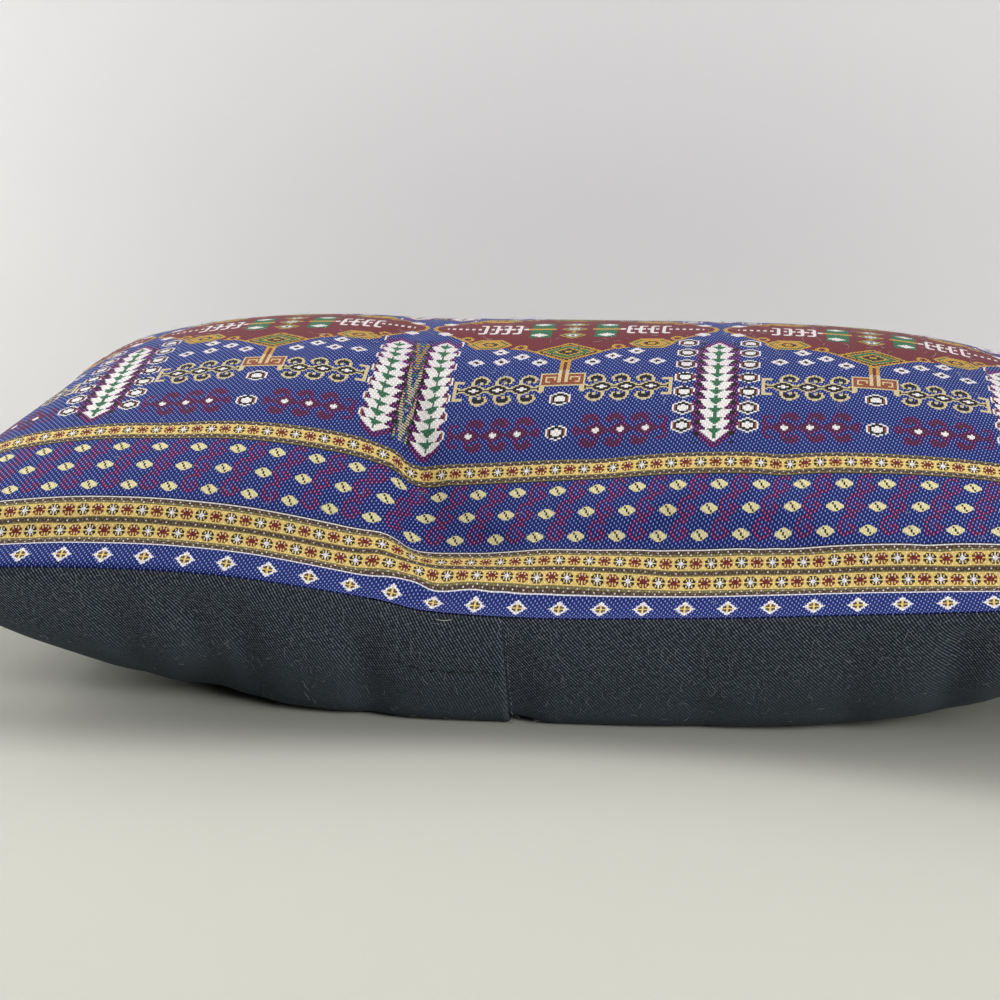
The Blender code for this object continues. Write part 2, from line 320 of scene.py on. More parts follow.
# The layers under the lap. The left back panel ends in a folded hem that lies over the right back panel,
# and every layer is pressed thin where it is sewn into the outer seam.
BACK_CLOTH = 1.2 * MM
HEM = 2.0 * MM
PIECE_GAP = 0.3 * MM
LAP_EDGE = -3 * MM
TUCK_EDGE = -48 * MM
LAP_STEP = 14 * MM
PRESSED = 0.35
PRESSED_WIDTH = 8 * MM
HEM_SEAM_AT = 8.3 * MM
from_side = np.minimum(along + CUT_LENGTH / 2, CUT_LENGTH / 2 - along)[:, None]
from_long = np.minimum(across, CUT_DEPTH - across)[None, :]
pressed = PRESSED + (1 - PRESSED) * smooth_step(np.minimum(from_side, from_long) / PRESSED_WIDTH)
inward = outward(back_face)
stitched = smooth_step((along + 46 * MM) / (6 * MM)) * smooth_step((-4 * MM - along) / (6 * MM))
pucker = 0.7 * MM * stitched[:, None] * np.exp(-(((across - HEM_SEAM_AT) / (1.3 * MM)) ** 2))
back_face = back_face + inward * pucker[..., None]
beside_lap = smooth_step(1 - (along - LAP_EDGE) / LAP_STEP)
under_hem = np.where(along < TUCK_EDGE, smooth_step((along - TUCK_EDGE) / (4 * MM) + 1), beside_lap)
filling_inset = pressed * (BACK_CLOTH + PIECE_GAP + (HEM + PIECE_GAP) * under_hem[:, None])
filling_back = back_face + inward * filling_inset[..., None]
left_thickness = pressed * np.where(along > TUCK_EDGE, HEM, BACK_CLOTH)[:, None]
left_inner = back_face + inward * left_thickness[..., None]
right_inset = pressed * (HEM + PIECE_GAP) * beside_lap[:, None]
right_outer = back_face + inward * right_inset[..., None]
right_inner = right_outer + inward * (pressed * BACK_CLOTH)[..., None]

# Along the seam both cloths turn in over their own thickness and meet in a narrow groove.
tuck_x = -np.sign(along)[:, None] * SEAM_TUCK * np.exp(-((from_side / SEAM_ROUND) ** 2))
tuck_y = np.sign(CUT_DEPTH / 2 - across)[None, :] * SEAM_TUCK * np.exp(-((from_long / SEAM_ROUND) ** 2))
for face in (front_face, back_face, filling_back, left_inner, right_outer, right_inner):
    face[..., 0] += tuck_x
    face[..., 1] += tuck_y

# The front panel, with the filling that it holds. It is a jacquard: a navy twill ground with a light
# blue weft showing through, and figures floated in white, yellow, brown, olive, black, maroon and
# purple yarns. Its border has three bands, and the field repeats a medallion between leaf columns.
THREAD_WIDE = 113.2 * MM / 176
BAND_REPEAT = 22 * THREAD_WIDE
FLOWER_REPEAT = 10.29 * MM
BORDER_THREAD_HIGH = 0.46 * MM
FIELD_THREAD_HIGH = 0.69 * MM
BORDER_ROWS = 147
FIELD_ROWS = 120
FIELD_COLUMNS = 88
BORDER_DEPTH = BORDER_ROWS * BORDER_THREAD_HIGH
WORD = 22
BLOCK = 30
YARNS = " wynokmp"
FIELD_YARNS = " wyrgkmp"
AXIS_AT = 6.7 * MM


def charted(rows, yarns):
    """A chart drawn as text, top row first, as yarn numbers counted from its lowest row."""
    return np.array([[yarns.index(letter) for letter in row] for row in rows[::-1]])


def stamp(chart, figure, row, column):
    """Lays a figure's worked threads over the chart, which goes round at its sides."""
    rows, columns = np.nonzero(figure)
    chart[rows + row, (columns + column) % chart.shape[1]] = figure[rows, columns]


DARK_FLOWER = charted(
    (
        "  kk kk  ",
        " k kwk k ",
        "kk kwk kk",
        "kkkwwwkkk",
        "  wwwww  ",
        "kkkwwwkkk",
        "kk kwk kk",
        " k kwk k ",
        "  kk kk  ",
    ),
    YARNS,
)
RED_FLOWER = charted(
    (
        "  mm mm  ",
        " m mwm m ",
        "mm mmm mm",
        "mmmmmmmmm",
        "  mmmmm  ",
        "mmmmmmmmm",
        "mm m m mm",
        " m m m m ",
        "  mm mm  ",
    ),
    YARNS,
)


def strip_diamond():
    """A diamond eleven threads wide and fifteen high, with an ochre cross between four brown seeds."""
    up, aside = np.mgrid[-7:8, -5:6]
    figure = np.where(np.abs(aside) / 5.0 + np.abs(up) / 7.6 <= 1, YARNS.index("w"), 0)
    figure[(np.abs(aside) + np.abs(up) < 5) & (np.abs(aside) < 3)] = YARNS.index("n")
    figure[(aside == 0) & (np.abs(up) < 5)] = YARNS.index("y")
    figure[(up == 0) & (np.abs(aside) < 4)] = YARNS.index("y")
    return figure


def hooked_scroll():
    """A leaning oval ring, open on its right, with a hook that turns back inside it."""
    up, aside = np.mgrid[-9:10, -6:6]
    up = up * BORDER_THREAD_HIGH / MM
    aside = (aside + 0.5) * THREAD_WIDE / MM - 0.18 * up
    ring = np.hypot(aside / 3.2, up / 4.0)
    turn = np.degrees(np.arctan2(up / 4.0, aside / 3.2))
    figure = np.where(ring < 0.45, YARNS.index("m"), 0)
    figure[(ring > 0.66) & (ring < 1.08) & ((turn > 38) | (turn < -8))] = YARNS.index("p")
    figure[np.hypot(aside - 1.1, up + 0.4) < 1.1] = YARNS.index("p")
    figure[(np.abs(turn - 15) < 22) & (ring > 0.6)] = 0
    return figure


def seed():
    """A cream lozenge with a dark slash down its middle."""
    up, aside = np.mgrid[-5:6, -4:5]
    figure = np.where((np.abs(aside) / 4.7) ** 1.25 + (np.abs(up) / 4.8) ** 1.25 <= 1, YARNS.index("w"), 0)
    figure[(aside == np.rint(-0.45 * up)) & (np.abs(up) < 4)] = YARNS.index("k")
    return figure


border = np.zeros((BORDER_ROWS, WORD), int)
stamp(border, strip_diamond(), 5, 16)
BAND_STRIPES = {
    "row": (24, 25, 26, 27, 28, 29, 41, 42, 43, 44, 45, 57, 58, 59, 60, 61, 62, 63)
    + (126, 127, 128, 129, 130, 131, 143, 144, 145, 146),
    "yarn": "wnnnoo" + "onnno" + "oonnnwk" + "konnno" + "nnno",
}
for row, letter in zip(BAND_STRIPES["row"], BAND_STRIPES["yarn"]):
    border[row] = YARNS.index(letter)
for row, first in ((26, 2), (28, 5), (43, 1), (58, 4), (60, 2), (128, 1), (130, 4), (145, 3), (143, 6)):
    border[row, [first, first + 7, first + 14]] = YARNS.index("w")
for low, first in ((30, 7), (46, 0), (132, 12)):
    border[low : low + 11] = YARNS.index("y")
    stamp(border, DARK_FLOWER, low + 1, first)
    stamp(border, RED_FLOWER, low + 1, first + 11)
for low, seed_low, at, seed_at in ((70, 69, 10, 0), (89, 90, 14, 5), (107, 111, 20, 10)):
    stamp(border, hooked_scroll(), low, at)
    stamp(border, seed(), seed_low, seed_at)


def field_chart(single):
    """Half of the field's repeat, from the medallion's axis out to the middle of a leaf column. The single
    column's variant has one leaf and the other has two. Figures are drawn by distance: a thread takes a
    yarn where its place, in millimetres from the figure, meets the figure's rule."""
    x = (np.arange(FIELD_COLUMNS)[None, :] + 0.5) * THREAD_WIDE / MM
    v = (BORDER_DEPTH + (np.arange(FIELD_ROWS)[:, None] + 0.5) * FIELD_THREAD_HIGH) / MM
    x, v = np.broadcast_arrays(x, v)
    chart = np.zeros(x.shape, int)

    def work(where, letter):
        """Puts one yarn on the threads where the rule holds."""
        chart[where] = FIELD_YARNS.index(letter)

    def lozenge(at_x, at_v, wide, high):
        """The sum of the distances from a middle, each over its half width: 1 is a lozenge's edge."""
        return np.abs(x - at_x) / wide + np.abs(v - at_v) / high

    def hexagon(at_x, at_v):
        """A hexagon with points above and below, dark inside its white line, round a white oval."""
        aside = np.abs(x - at_x)
        size = np.maximum(aside / 3.6, (np.abs(v - at_v) + 0.5 * aside) / 3.7)
        work(size < 1, "w")
        work(size < 0.84, "r")
        work((size < 0.84) & (aside < 2.4), "k")
        work(np.hypot(aside / 2.2, (v - at_v) / 1.5) < 1, "w")

    def scroll(at_v, first, line, inside):
        """Two strands that swell round white seeds and meet between them. Over each seed a strand throws off
        a hook, which runs over toward the medallion's axis and curls in under itself."""
        wave = 0.5 + 2.3 * np.abs(np.cos(np.pi * (x - first) / 9)) ** 1.4
        off = np.abs(v - at_v)
        reach = (x > first - 7.6) & (x < first + 24.5)
        work(reach & (off < wave), inside)
        for k in range(3):
            dx = (first + 9 * k - 2.3 - x) / 2.8
            dv = (off - 5.0) / 2.3
            ring = np.hypot(dx, dv)
            turn = np.degrees(np.arctan2(dv, dx)) % 360
            drawn = (turn < 215) | (turn > 300)
            work((ring < 0.85) & drawn, inside)
            work((np.abs(ring - 1) < 0.17) & drawn, line)
            work((np.hypot(dx - 0.15, dv + 0.5) < 0.3), line)
            work((np.abs(dx + 1.05) < 0.16) & (dv < 0) & (off > 2.4), line)
        work(reach & (np.abs(off - wave) < 0.4), line)
        for k in range(3):
            work(lozenge(first + 9 * k, at_v, 1.9, 1.3) < 1, "w")
        work((np.abs(x - first - 25) < 0.75) & (off < 5.0), line)
        work((np.abs(x - first - 23.6) < 1.5) & (np.abs(off - 4.7) < 0.6), line)
        work((np.abs(x - first + 7.2) < 1.0) & (off < 1.6), line)

    for at_v in (79.6, 95.8):
        hexagon(0, at_v)
    scroll(80.0, 14.2, "p", "m")
    scroll(101.8, 14.8, "y", "k")

    # The anchor under each medallion and the two dotted cords that join them
    bar = (x < 8.2) & (np.abs(v - 106.6) < 3.5)
    work(bar, "r")
    work(bar & ((x > 7.4) | (np.abs(v - 106.6) > 2.8)), "y")
    coil = np.maximum(np.abs(x - 4.4) / 1.1, np.abs(v - 106.6))
    work(bar & (np.abs(coil - 1.4) < 0.4) & ~((x < 4.4) & (v < 106.2)), "y")
    work((x < 2.1) & (v > 105) & (v < 119), "y")
    work((x < 0.9) & (v > 105) & (v < 119), "r")

    for at_x, at_v in ((10.0, 118), (17.2, 122.4), (24.6, 118.9), (25.8, 126.4), (34.0, 118.4)):
        work(lozenge(at_x, at_v, 3.3, 2.6) < 1, "w")
        work(lozenge(at_x, at_v, 1.2, 1.0) < 1, "k")

    # The medallion: a brick red body in an ochre outline, with a nest of lozenges at its tip, a hooked
    # lozenge on each flank, green squares and white combs
    flank = np.interp(v, (118, 124, 128, 129.5, 130.5, 137, 147, 150), (0, 10, 16.5, 23, 36, 42, 55, 56))
    inside = (x < flank) & (v > 118)
    work(inside, "r")
    work(inside & (flank - x < 1.6), "y")
    work(inside & (flank - x < 3.4) & (flank - x > 2.4) & (v < 140), "k")
    nest = ((1, "y"), (0.86, "k"), (0.74, "y"), (0.66, "g"), (0.44, "y"), (0.34, "k"), (0.14, "y"))
    for size, letter in nest:
        work(lozenge(0, 126.2, 13.6, 8) < size, letter)
    flat_lozenge = np.maximum(np.abs(x - 31) / 8.8 + np.abs(v - 133.4) / 9, np.abs(v - 133.4) / 4.3)
    for size, letter in ((1, "y"), (0.82, "g"), (0.7, "y"), (0.36, "k"), (0.2, "y")):
        work(flat_lozenge < size, letter)
    for at_x, at_v in ((40.5, 138.5), (18.5, 130.4)):
        curl = np.hypot(x - at_x, (v - at_v) * 1.2)
        work(np.abs(curl - 2.0) < 0.6, "y")
    work((np.abs(x - 12.6) < 4.4) & (v > 140), "g")
    work(lozenge(13.0, 142.8, 3.6, 2.0) < 1, "w")
    work((x < 6.6) & (v > 137), "r")
    for at_v, wide in ((142.2, 5.4), (150, 5.4)):
        for size, letter in ((1, "y"), (0.78, "g"), (0.5, "w"), (0.2, "k")):
            work(lozenge(0, at_v, wide, 3.6) < size, letter)
    for at_x in (21.5, 26, 30.5, 35):
        work((np.abs(x - at_x) < 0.6) & (v > 145), "w")
        work((x > at_x - 0.5) & (x < at_x + 2.3) & (np.abs(v - 145) < 0.6), "w")
    work((v > 149.2) & (x > 18) & (x < 50) & ((x % 2.6) < 1.7), "w")
    work((v > 149.2) & (x > 7) & (x < 18), "y")
    work(lozenge(50, 143, 3.2, 2.3) < 1, "w")

    def leaf_column(at_x):
        """White leaves in pairs up a green stem, in a scalloped edge of maroon and magenta."""
        aside = np.abs(x - at_x)
        tooth = (v - 73.5) / 5.2 % 1
        ends = np.minimum(v - 71.9, 134 - v) * 0.95
        edge = 5.2 + 1.6 * np.abs(np.sin(np.pi * (v - 73.5) / 5.2))
        work((aside < np.minimum(edge + 1.7, ends + 3)) & (ends > -2.2), "p")
        work((np.abs(aside - 6.1) < 0.9) & (np.abs(tooth - 0.55) < 0.22) & (ends > 0), "k")
        half = np.minimum(2.9 + 2.9 * ((tooth + 0.15) % 1), ends)
        work(aside < half, "w")
        bud = np.where(tooth > 0.3, (tooth - 0.3) * 3.9, 0.4)
        work((aside < np.minimum(bud, ends - 1)) & (v > 74), "g")

    middle = FIELD_COLUMNS * THREAD_WIDE / MM
    if single:
        for k in range(7):
            hexagon(middle - 11.6, 80.4 + 8.9 * k)
        leaf_column(middle)
    else:
        leaf_column(middle - 9.1)
        strip = (middle - x < 2.3) & (v > 74) & (v < 131)
        work(strip & ((x * 7 + v * 3) % 4 < 1.6), "y")
        work(strip & ((x * 5 - v * 4) % 5 < 1.2), "g")
    return chart


single_field = field_chart(True)
double_field = field_chart(False)
words = [border]
words += [single_field[:, start : start + WORD] for start in range(0, FIELD_COLUMNS, WORD)]
words += [double_field[:, -WORD:]]


def linear(code):
    """An sRGB hex colour as linear red, green and blue."""
    value = np.array([int(code[i : i + 2], 16) for i in (0, 2, 4)]) / 255
    return (*np.where(value <= 0.04045, value / 12.92, ((value + 0.055) / 1.055) ** 2.4).tolist(), 1)


def wire(tree, kind, *inputs, out=0, **settings):
    """Adds one node with its settings, and feeds its inputs in order, each by a link or a constant."""
    made = tree.nodes.new("ShaderNode" + kind)
    for name, value in settings.items():
        setattr(made, name, value)
    for socket, source in zip(made.inputs, inputs):
        if isinstance(source, bpy.types.NodeSocket):
            tree.links.new(source, socket)
        elif source is not None:
            socket.default_value = source
    return made.outputs[out]


def stops(ramp_output, colours, interpolation="CONSTANT"):
    """Gives a colour ramp evenly spaced stops."""
    ramp = ramp_output.node.color_ramp
    ramp.interpolation = interpolation
    for k in range(len(colours)):
        if k < 2:
            ramp.elements[k].position = k / len(colours)
        else:
            ramp.elements.new(k / len(colours))
    for stop, colour in zip(ramp.elements, colours):
        stop.color = colour
    return ramp_output


def card_rows(chart):
    """Each chart row as one number per bit of the yarn number: its threads are the number's binary places."""
    places = 0.5 ** (np.arange(WORD) + 1)
    return np.stack([((chart >> bit) & 1) @ places for bit in range(3)], axis=1)


front_cloth = bpy.data.materials.new("jacquard_carpet_cloth")
front_cloth.use_nodes = True
tree = front_cloth.node_tree
shader = tree.nodes["Principled BSDF"]
place = wire(tree, "UVMap", uv_map="cut")
apart = wire(tree, "SeparateXYZ", place).node
# The UV map holds metres of flat cloth. The chart is mirrored about the middle of the depth.
flat_u = wire(tree, "Math", apart.outputs[0], -CUT_LENGTH / 2, operation="ADD")
from_middle = wire(tree, "Math", apart.outputs[1], -CUT_DEPTH / 2, operation="ADD")
from_middle = wire(tree, "Math", from_middle, operation="ABSOLUTE")
flat_v = wire(tree, "Math", CUT_DEPTH / 2, from_middle, operation="SUBTRACT")
border_row = wire(tree, "Math", flat_v, BORDER_THREAD_HIGH, operation="DIVIDE")
border_row = wire(tree, "Math", border_row, operation="FLOOR")
field_row = wire(tree, "Math", flat_v, -BORDER_DEPTH, operation="ADD")
field_row = wire(tree, "Math", field_row, FIELD_THREAD_HIGH, operation="DIVIDE")
field_row = wire(tree, "Math", field_row, operation="FLOOR")
in_field = wire(tree, "Math", border_row, BORDER_ROWS - 0.5, operation="GREATER_THAN")

# Border: which of the 22 threads of the repeat, which is shorter in the flower bands
flowers = wire(tree, "Math", border_row, 43.5, 20.4, operation="COMPARE")
flowers_inner = wire(tree, "Math", border_row, 136.5, 10.4, operation="COMPARE")
flowers = wire(tree, "Math", flowers, flowers_inner, operation="MAXIMUM")
narrower = (FLOWER_REPEAT - BAND_REPEAT) / WORD
wide = wire(tree, "Math", flowers, narrower, THREAD_WIDE, operation="MULTIPLY_ADD")
thread = wire(tree, "Math", flat_u, wide, operation="DIVIDE")
thread = wire(tree, "Math", thread, -0.2, operation="ADD")
thread = wire(tree, "Math", thread, operation="FLOOR")
border_thread = wire(tree, "Math", thread, float(WORD), operation="FLOORED_MODULO")

# Field: how far from the nearest single leaf column, then from the nearest medallion axis
HALF_REPEAT = FIELD_COLUMNS * THREAD_WIDE
to_column = wire(tree, "Math", flat_u, -(AXIS_AT + HALF_REPEAT), operation="ADD")
to_column = wire(tree, "Math", to_column, 2 * HALF_REPEAT, operation="PINGPONG")
beyond = wire(tree, "Math", to_column, HALF_REPEAT, operation="GREATER_THAN")
to_axis = wire(tree, "Math", to_column, -HALF_REPEAT, operation="ADD")
to_axis = wire(tree, "Math", to_axis, operation="ABSOLUTE")
column = wire(tree, "Math", to_axis, THREAD_WIDE, operation="DIVIDE")
column = wire(tree, "Math", column, operation="FLOOR")
column = wire(tree, "Math", column, FIELD_COLUMNS - 1.0, operation="MINIMUM")
word = wire(tree, "Math", column, float(WORD), operation="DIVIDE")
word = wire(tree, "Math", word, operation="FLOOR")
field_thread = wire(tree, "Math", word, -float(WORD), column, operation="MULTIPLY_ADD")
outer = wire(tree, "Math", word, 3.0, 0.5, operation="COMPARE")
swap = wire(tree, "Math", outer, beyond, operation="MULTIPLY")
word = wire(tree, "Math", word, swap, operation="ADD")
word = wire(tree, "Math", word, 1.0, operation="ADD")
word = wire(tree, "Math", word, in_field, operation="MULTIPLY")
keep = wire(tree, "Math", field_thread, in_field, operation="MULTIPLY")
in_border = wire(tree, "Math", 1.0, in_field, operation="SUBTRACT")
bit_place = wire(tree, "Math", border_thread, in_border, keep, operation="MULTIPLY_ADD")

# The cards: each colour ramp holds thirty chart rows, and is zero past them, so the cards of one word
# add up to the row that is read
card_sum = None
for number, chart in enumerate(words):
    row = field_row if number else border_row
    values = card_rows(chart)
    rows_read = None
    for start in range(0, len(values), BLOCK):
        block = values[start : start + BLOCK]
        colours = [(0, 0, 0, 1)] + [(*line.tolist(), 1) for line in block]
        colours += [(0, 0, 0, 1)] * (BLOCK + 2 - len(colours))
        at = wire(tree, "Math", row, 1.5 - start, operation="ADD")
        at = wire(tree, "Math", at, BLOCK + 2.0, operation="DIVIDE")
        card = stops(wire(tree, "ValToRGB", at), colours)
        if rows_read is None:
            rows_read = card
        else:
            rows_read = wire(tree, "VectorMath", rows_read, card, operation="ADD")
    chosen = wire(tree, "Math", word, float(number), 0.5, operation="COMPARE")
    rows_read = wire(tree, "VectorMath", rows_read, operation="SCALE").node
    tree.links.new(chosen, rows_read.inputs["Scale"])
    rows_read = rows_read.outputs[0]
    card_sum = rows_read if card_sum is None else wire(tree, "VectorMath", card_sum, rows_read)

half_place = 0.5 ** (WORD + 1)
card_sum = wire(tree, "VectorMath", card_sum, (half_place,) * 3)
shift = wire(tree, "Math", 2.0, bit_place, operation="POWER")
bits = wire(tree, "VectorMath", card_sum, operation="SCALE").node
tree.links.new(shift, bits.inputs["Scale"])
bits = wire(tree, "VectorMath", bits.outputs[0], operation="FRACTION")
bits = wire(tree, "VectorMath", bits, (2.0, 2.0, 2.0), operation="MULTIPLY")
bits = wire(tree, "VectorMath", bits, operation="FLOOR")
yarn = wire(tree, "VectorMath", bits, (1.0, 2.0, 4.0), out=1, operation="DOT_PRODUCT")
yarn_place = wire(tree, "Math", yarn, 0.5, operation="ADD")
yarn_place = wire(tree, "Math", yarn_place, 8.0, operation="DIVIDE")

# Yarn colours, in the border, in its blue band, in the field and in its medallions. The first colour of
# a pair shows between the floats and the second on them, so a figure that is woven open reads as dashes.
YARN_COLOURS = {
    "border": (
        ("0c1a5a", "cdc8cc", "cdb268", "43352a", "6e6440", "131217", "5d1d1e", "2a1f55"),
        ("8da0e2", "ffffff", "efdc9a", "846c52", "9a8f58", "33322f", "8c3430", "d0607c"),
    ),
    "band": (
        ("0c1a5a", "c9bf90", "cdb268", "43352a", "6e6440", "131217", "231f5c", "2c1650"),
        ("8da0e2", "f4ebb8", "efdc9a", "846c52", "9a8f58", "33322f", "a890dc", "f06c84"),
    ),
    "field": (
        ("0c1a5a", "cfcac6", "b8a880", "7a3f2c", "2c5a40", "131217", "3c1834", "2c1040"),
        ("8da0e2", "ffffff", "dccfa4", "b06a4c", "4d8a68", "33322f", "8c3f6c", "cc5c9c"),
    ),
    "medallion": (
        ("0c1a5a", "c6bfc0", "a67f34", "5e262c", "2a5a3c", "241f1c", "4a1a2a", "331450"),
        ("8da0e2", "fbf6f4", "d8b264", "8a4046", "3f8a5c", "4a4436", "7c3a50", "d66aa8"),
    ),
}
shown = []
in_band = wire(tree, "Math", border_row, 95.0, 31.4, operation="COMPARE")
in_medallion = wire(tree, "Math", flat_v, 112.5 * MM, operation="GREATER_THAN")
for layer in (0, 1):
    tints = [
        stops(wire(tree, "ValToRGB", yarn_place), [linear(code) for code in pair[layer]])
        for pair in YARN_COLOURS.values()
    ]
    in_borders = wire(tree, "MixRGB", in_band, tints[0], tints[1])
    in_fields = wire(tree, "MixRGB", in_medallion, tints[2], tints[3])
    shown.append(wire(tree, "MixRGB", in_field, in_borders, in_fields))

# The twill: its floats stand in steep diagonal lines 1.1 mm apart, broken every 1.4 mm by other lines
# that cross them. Both are given as turns per metre of cloth.
FLOAT_LINES = (890 * 2 * np.pi, -270 * 2 * np.pi, 0)
FLOAT_BREAKS = (540 * 2 * np.pi, 450 * 2 * np.pi, 0)
line_wave = wire(tree, "VectorMath", place, FLOAT_LINES, out=1, operation="DOT_PRODUCT")
line_wave = wire(tree, "Math", line_wave, operation="COSINE")
break_wave = wire(tree, "VectorMath", place, FLOAT_BREAKS, out=1, operation="DOT_PRODUCT")
break_wave = wire(tree, "Math", break_wave, operation="COSINE")
floats = wire(tree, "Math", break_wave, 0.6, line_wave, operation="MULTIPLY_ADD")
floats = wire(tree, "MapRange", floats, 0.7, 1.45, 0.0, 1.0)
cloth_colour = wire(tree, "MixRGB", floats, *shown)
tree.links.new(cloth_colour, shader.inputs["Base Color"])
shader.inputs["Roughness"].default_value = 0.7
shader.inputs["IOR"].default_value = 1.45
shader.inputs["Specular IOR Level"].default_value = 0.2
shader.inputs["Sheen Weight"].default_value = 0.04
shader.inputs["Sheen Roughness"].default_value = 0.4
bump = wire(tree, "Bump").node
bump.inputs["Strength"].default_value = 0.35
bump.inputs["Distance"].default_value = 0.15 * MM
tree.links.new(floats, bump.inputs["Height"])
tree.links.new(bump.outputs[0], shader.inputs["Normal"])


def panel(name, upper, lower, cut, material):
    """A closed piece between two grids of points, with the flat cloth's own places as its UV map."""
    rows, columns = upper.shape[:2]
    count = rows * columns
    top = grid_faces(rows, columns)
    rim = np.concatenate(
        [
            np.arange(rows) * columns,
            (rows - 1) * columns + np.arange(1, columns),
            np.arange(rows - 2, -1, -1) * columns + columns - 1,
            np.arange(columns - 2, 0, -1),
        ]
    )
    following = np.roll(rim, -1)
    sides = np.stack([rim + count, following + count, following, rim], axis=1)
    faces = np.concatenate([top, top[:, ::-1] + count, sides])
    mesh = bpy.data.meshes.new(name)
    points = np.concatenate([upper.reshape(-1, 3), lower.reshape(-1, 3)])
    mesh.from_pydata(points.tolist(), [], faces.tolist())
    mesh.uv_layers.new(name="cut")
    grid = cut.reshape(-1, 2)
    corners = np.empty(len(mesh.loops), int)
    mesh.loops.foreach_get("vertex_index", corners)
    mesh.uv_layers["cut"].data.foreach_set("uv", grid[corners % count].ravel())
    mesh.materials.append(material)
    mesh.shade_smooth()
    piece = bpy.data.objects.new(name, mesh)
    scene.collection.objects.link(piece)
    return piece


flat_places = np.stack(np.broadcast_arrays(along[:, None] + CUT_LENGTH / 2, across[None, :]), axis=2)
front_piece = panel("front_panel", front_face, filling_back, flat_places, front_cloth)
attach(front_piece, "root")
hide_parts("front_panel_filled")

# The back panels: plain charcoal twill, piece-dyed, with a steep diagonal rib. The left panel's folded
# hem laps over the right panel at the middle, which closes the cover.
back_cloth = bpy.data.materials.new("charcoal_twill_cloth")
back_cloth.use_nodes = True
tree = back_cloth.node_tree
shader = tree.nodes["Principled BSDF"]
place = wire(tree, "UVMap", uv_map="cut")
apart = wire(tree, "SeparateXYZ", place).node
RIBS = (810 * 2 * np.pi, -550 * 2 * np.pi, 0)
RIB_BREAKS = (420 * 2 * np.pi, 640 * 2 * np.pi, 0)
rib_wave = wire(tree, "VectorMath", place, RIBS, out=1, operation="DOT_PRODUCT")
rib_wave = wire(tree, "Math", rib_wave, operation="COSINE")
rib_break = wire(tree, "VectorMath", place, RIB_BREAKS, out=1, operation="DOT_PRODUCT")
rib_break = wire(tree, "Math", rib_break, operation="COSINE")
rib = wire(tree, "Math", rib_break, 0.3, rib_wave, operation="MULTIPLY_ADD")
rib = wire(tree, "MapRange", rib, 0.0, 1.2, 0.0, 1.0)
speckle = wire(tree, "TexNoise", place, None, 650.0, 2.0)
speckle = wire(tree, "MapRange", speckle, 0.34, 0.66, 0.2, 1.0)
rib = wire(tree, "Math", rib, speckle, operation="MULTIPLY")
# Low on the wall the nap is rubbed up, so the ribs fade into an even, slightly greener fuzz
rubbed = wire(tree, "MapRange", apart.outputs[1], 22 * MM, 46 * MM, 0.0, 0.75)
ribbed = wire(tree, "Math", 1.0, rubbed, operation="SUBTRACT")
rib = wire(tree, "Math", rib, ribbed, operation="MULTIPLY")
nap = wire(tree, "MixRGB", rubbed, linear("1b212a"), linear("3d444a"))
charcoal = wire(tree, "MixRGB", rib, nap, linear("8f98a8"))
tree.links.new(charcoal, shader.inputs["Base Color"])
shader.inputs["Roughness"].default_value = 0.85
shader.inputs["Specular IOR Level"].default_value = 0.15
shader.inputs["Sheen Weight"].default_value = 0.02
bump = wire(tree, "Bump").node
bump.inputs["Strength"].default_value = 0.3
bump.inputs["Distance"].default_value = 0.15 * MM
tree.links.new(rib, bump.inputs["Height"])
tree.links.new(bump.outputs[0], shader.inputs["Normal"])


def back_places(face):
    """The back cloth's own places: along the seam, and down the cloth from the near seam."""
    down = np.linalg.norm(np.diff(face, axis=1), axis=2)
    down = np.concatenate([np.zeros_like(down[:, :1]), np.cumsum(down, axis=1)], axis=1)
    return np.stack(np.broadcast_arrays(along[:, None] + CUT_LENGTH / 2, down), axis=2)


# The left panel's ribs stand steeper than the right panel's
LEFT_RIB_LEAN = 0.25
back_flat = back_places(back_face)
left = along <= LAP_EDGE
left_flat = back_flat[left] + back_flat[left][..., 1:] * (LEFT_RIB_LEAN, 0)
left_piece = panel("left_back_panel", left_inner[left], back_face[left], left_flat, back_cloth)
right = along >= TUCK_EDGE
right_piece = panel("right_back_panel", right_inner[right], right_outer[right], back_flat[right], back_cloth)
for piece, node, wide in ((left_piece, "back_panel_left", 0.247), (right_piece, "back_panel_right", 0.298)):
    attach(piece, "root")
    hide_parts(node)

# Sewing thread: the row of stitches that holds the hem down, in dark thread a little sunk into the
# cloth, and one pale end of thread that was left at the seam.
THREAD_RADIUS = 0.28 * MM


